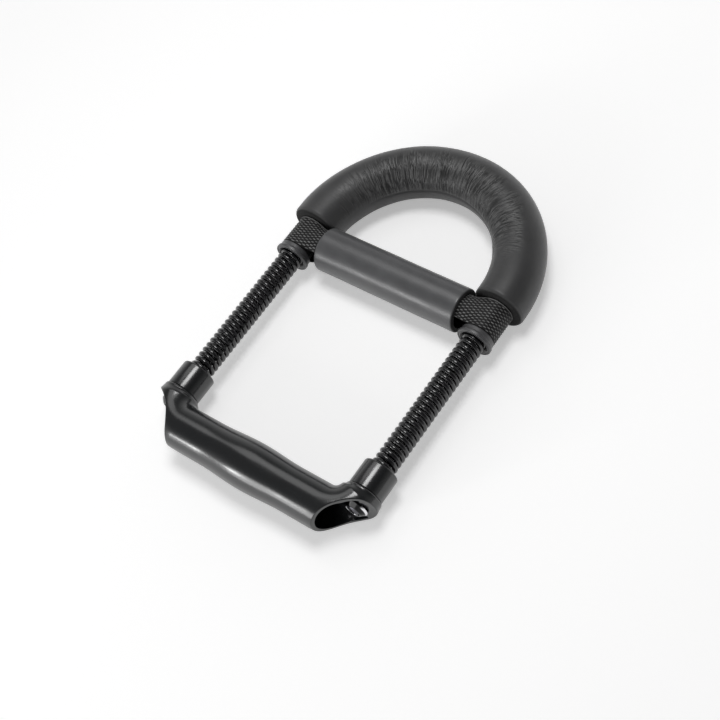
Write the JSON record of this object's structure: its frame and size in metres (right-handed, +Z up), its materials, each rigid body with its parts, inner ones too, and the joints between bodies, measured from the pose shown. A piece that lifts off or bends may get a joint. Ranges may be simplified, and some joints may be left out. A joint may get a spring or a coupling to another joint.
{
  "type": "wrist exerciser",
  "caption": "U-shaped foam grip over a steel tube with a webbing-held foam pad across it, joined by bending coil springs to a hollow moulded handle with slanted open ends.",
  "frame": {"origin": "middle of the footprint, on the surface that the exerciser lies on", "axes": "+Z up from that surface, +Y from the handle to the top of the U, +X along the handle"},
  "size_m": [0.1944, 0.302, 0.0375],
  "materials": {
    "steel_black": "satin",
    "foam_charcoal": "matte",
    "foam_grey": "satin",
    "webbing_black": "matte",
    "collar_plastic": "satin",
    "zinc": "satin",
    "spring_black": "gloss",
    "handle_gloss": "gloss",
    "bright_plate": "polished",
    "dark_steel": "satin"
  },
  "bodies": {
    "frame": {"frame_tube": "steel_black", "u_foam_grip": "foam_charcoal", "cross_foam_pad": "foam_grey", "web_strap": "webbing_black", "left_collar": "collar_plastic", "right_collar": "collar_plastic", "left_upper_plug": "zinc", "right_upper_plug": "zinc", "left_collar_pin": "zinc", "right_collar_pin": "zinc"},
    "springs": {"left_spring": "spring_black", "right_spring": "spring_black"},
    "handle": {"handle_shell": "handle_gloss", "left_socket": "handle_gloss", "right_socket": "handle_gloss", "left_lower_plug": "zinc", "right_lower_plug": "zinc", "left_washer": "bright_plate", "right_washer": "bright_plate", "left_screw": "dark_steel", "right_screw": "dark_steel"}
  },
  "joints": [
    {"name": "upper_bend", "type": "hinge", "parent": "frame", "child": "springs", "pos_m": [0, -0.01202, 0.01848], "axis": [1, 0, 0], "range_deg": [-30, 30], "stiffness_Nm_per_rad": 6, "deforming": ["left_spring", "right_spring"]},
    {"name": "lower_bend", "type": "hinge", "parent": "springs", "child": "handle", "pos_m": [0, -0.06617, 0.01848], "axis": [1, 0, 0], "range_deg": [-30, 30], "stiffness_Nm_per_rad": 6, "deforming": ["left_spring", "right_spring"]}
  ],
  "couplings": [
    {"joint": "lower_bend", "follows": "upper_bend", "ratio": 1}
  ]
}
